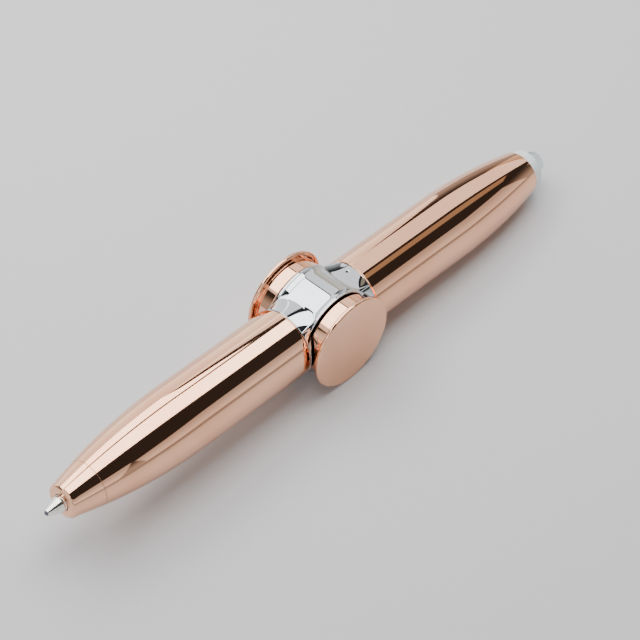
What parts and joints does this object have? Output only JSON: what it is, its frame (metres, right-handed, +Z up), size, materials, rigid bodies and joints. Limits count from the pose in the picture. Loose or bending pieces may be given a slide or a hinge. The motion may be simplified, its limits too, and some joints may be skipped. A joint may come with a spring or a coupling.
{
  "type": "fidget spinner pen",
  "caption": "Ballpoint pen with a bearing hub at its middle that spins between two finger caps, and a lamp at its tail.",
  "frame": {"origin": "centre of the bearing, where the spin axis crosses the pen's axis", "axes": "+X along the pen towards the lamp, with the writing tip at -X; +Y along the spin axis towards the far finger cap; +Z up"},
  "size_m": [0.127, 0.0172, 0.0182],
  "materials": {
    "rose_gold": "mirror-polished rose gold plating",
    "hub_chrome": "polished chrome plating on a zinc casting",
    "bearing_steel": "ground bearing steel",
    "brass": "turned brass",
    "white_plastic": "moulded, matte",
    "refill_metal": "drawn tube, satin",
    "tip_nickel": "turned nickel silver",
    "ball_carbide": "polished carbide",
    "cell_steel": "satin nickel-plated can",
    "frosted_plastic": "frosted translucent",
    "clear_epoxy": "clear moulded epoxy",
    "lead_tin": "tinned",
    "led_phosphor": "phosphor coating"
  },
  "bodies": {
    "hub": {"hub_housing": "hub_chrome", "near_bezel": "hub_chrome", "far_bezel": "hub_chrome", "bearing_outer_ring": "bearing_steel", "near_shield": "bearing_steel", "far_shield": "bearing_steel", "refill_holder": "white_plastic", "refill_tube": "refill_metal", "refill_tip": "tip_nickel", "contact_plate": "brass", "contact_spring": "brass"},
    "caps": {"near_cap": "rose_gold", "far_cap": "rose_gold", "cap_stud": "bearing_steel", "bearing_inner_ring": "bearing_steel"},
    "cage": {"bearing_cage": "brass", "bearing_balls": "bearing_steel"},
    "tip_ball": {"writing_ball": "ball_carbide"},
    "front_insert": {"front_thread_insert": "brass"},
    "front_half": {"front_barrel": "rose_gold", "nose_cone": "rose_gold"},
    "rear_insert": {"rear_thread_insert": "brass"},
    "rear_half": {"rear_barrel": "rose_gold", "led_collar": "frosted_plastic", "led_lens": "clear_epoxy", "led_anode": "lead_tin", "led_cathode": "lead_tin", "led_chip": "led_phosphor", "led_holder": "white_plastic", "battery_sleeve": "white_plastic", "battery_cells": "cell_steel"}
  },
  "joints": [
    {"name": "spin", "type": "hinge", "parent": "hub", "child": "caps", "pos_m": [0, 0, 0], "axis": [0, 1, 0], "continuous": true},
    {"name": "cage_run", "type": "hinge", "parent": "hub", "child": "cage", "pos_m": [0, 0, 0], "axis": [0, 1, 0], "continuous": true},
    {"name": "tip_roll", "type": "hinge", "parent": "hub", "child": "tip_ball", "pos_m": [-0.0647, 0, 0], "axis": [0, 1, 0], "continuous": true},
    {"name": "front_turn", "type": "hinge", "parent": "hub", "child": "front_insert", "pos_m": [0, 0, 0], "axis": [-1, 0, 0], "range_deg": [0, 2160]},
    {"name": "front_draw", "type": "slide", "parent": "front_insert", "child": "front_half", "axis": [-1, 0, 0], "range_m": [0, 0.006]},
    {"name": "rear_turn", "type": "hinge", "parent": "hub", "child": "rear_insert", "pos_m": [0, 0, 0], "axis": [1, 0, 0], "range_deg": [0, 2160]},
    {"name": "rear_draw", "type": "slide", "parent": "rear_insert", "child": "rear_half", "axis": [1, 0, 0], "range_m": [0, 0.006]}
  ],
  "couplings": [
    {"joint": "cage_run", "follows": "spin", "ratio": 0.3947},
    {"joint": "front_draw", "follows": "front_turn", "m_per_rad": 0.00015915},
    {"joint": "rear_draw", "follows": "rear_turn", "m_per_rad": 0.00015915}
  ]
}
